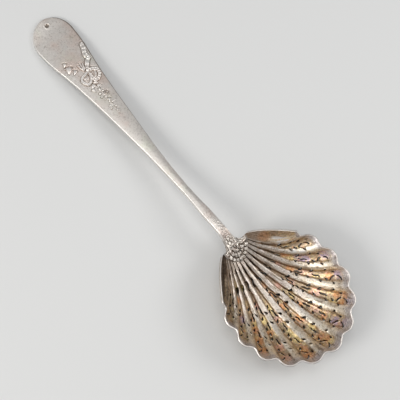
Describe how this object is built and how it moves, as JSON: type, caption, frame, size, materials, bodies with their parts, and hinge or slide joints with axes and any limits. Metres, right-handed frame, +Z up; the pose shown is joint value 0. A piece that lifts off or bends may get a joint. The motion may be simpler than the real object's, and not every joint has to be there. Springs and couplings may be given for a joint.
{
  "type": "sugar sifter spoon",
  "caption": "Long-handled silver sugar sifter with a fluted, pierced scallop-shell bowl, a fan-shaped joint ornament and a flat handle with ribbon relief.",
  "frame": {"origin": "on the table, at the middle of the flat worn under the bowl", "axes": "+X along the bowl from the handle towards the tip of the middle lobe, +Z up out of the bowl, +Y to the side that the handle leans to; the spoon lies on its bowl and its handle tip"},
  "size_m": [0.1696, 0.0508, 0.0155],
  "materials": {
    "worn_gilt_silver": "worn gilding over silver, with brown tarnish in the flutes",
    "tarnished_silver": "matt, lightly tarnished silver",
    "cast_silver": "cast silver, dark in its recesses",
    "silver_solder": "dull silver solder"
  },
  "bodies": {
    "root": {"bowl": "worn_gilt_silver", "handle": "tarnished_silver", "hinge_ornament": "cast_silver", "back_drop": "tarnished_silver", "solder_seam": "silver_solder"}
  },
  "joints": []
}
